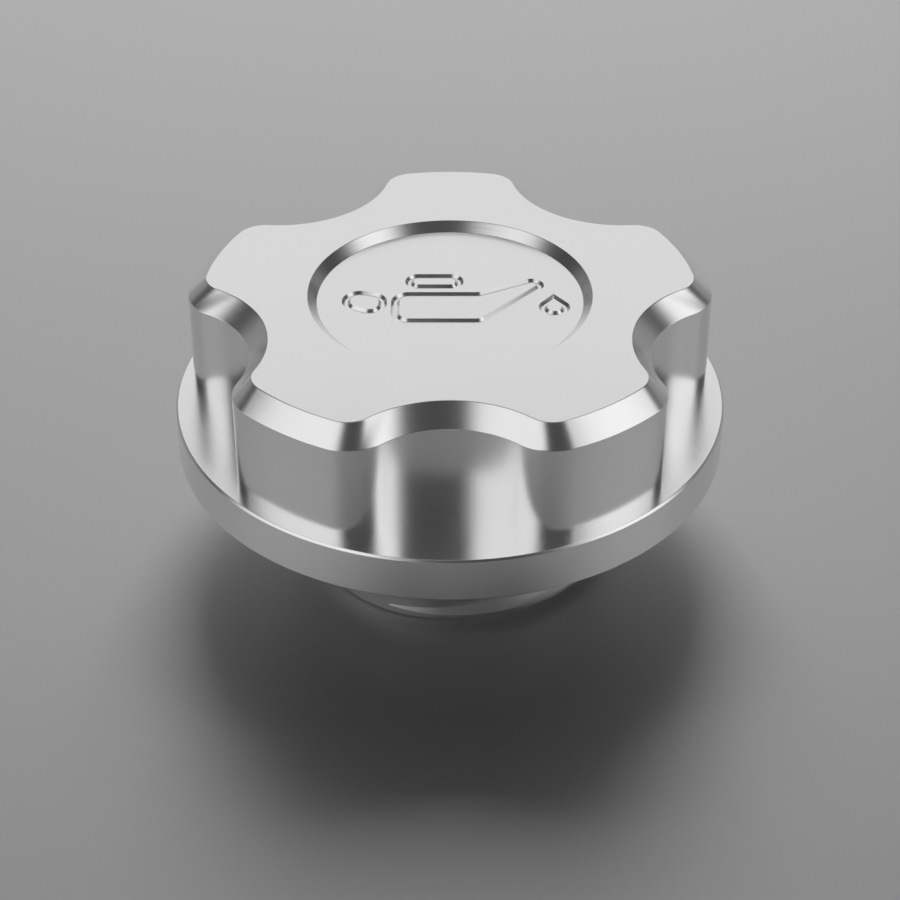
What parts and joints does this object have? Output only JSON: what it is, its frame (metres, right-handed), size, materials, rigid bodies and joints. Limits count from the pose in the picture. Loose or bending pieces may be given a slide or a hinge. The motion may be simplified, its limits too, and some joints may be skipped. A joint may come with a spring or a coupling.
{
  "type": "oil filler cap",
  "caption": "Round screw-in oil filler cap with a lobed grip knob, a dished top, a flange and a coarse threaded neck carrying a rubber seal ring.",
  "frame": {"origin": "centre of the flange's underside, where the thread axis meets the face that comes down on the filler rim", "axes": "+Z along the thread axis towards the grip knob; one scallop of the knob faces -Y"},
  "size_m": [0.0534, 0.0534, 0.0291],
  "materials": {
    "machined_aluminium": "fine machined, bright",
    "seal_rubber": "smooth black nitrile rubber"
  },
  "bodies": {
    "root": {"cap_body": "machined_aluminium", "seal_ring": "seal_rubber"}
  },
  "joints": []
}
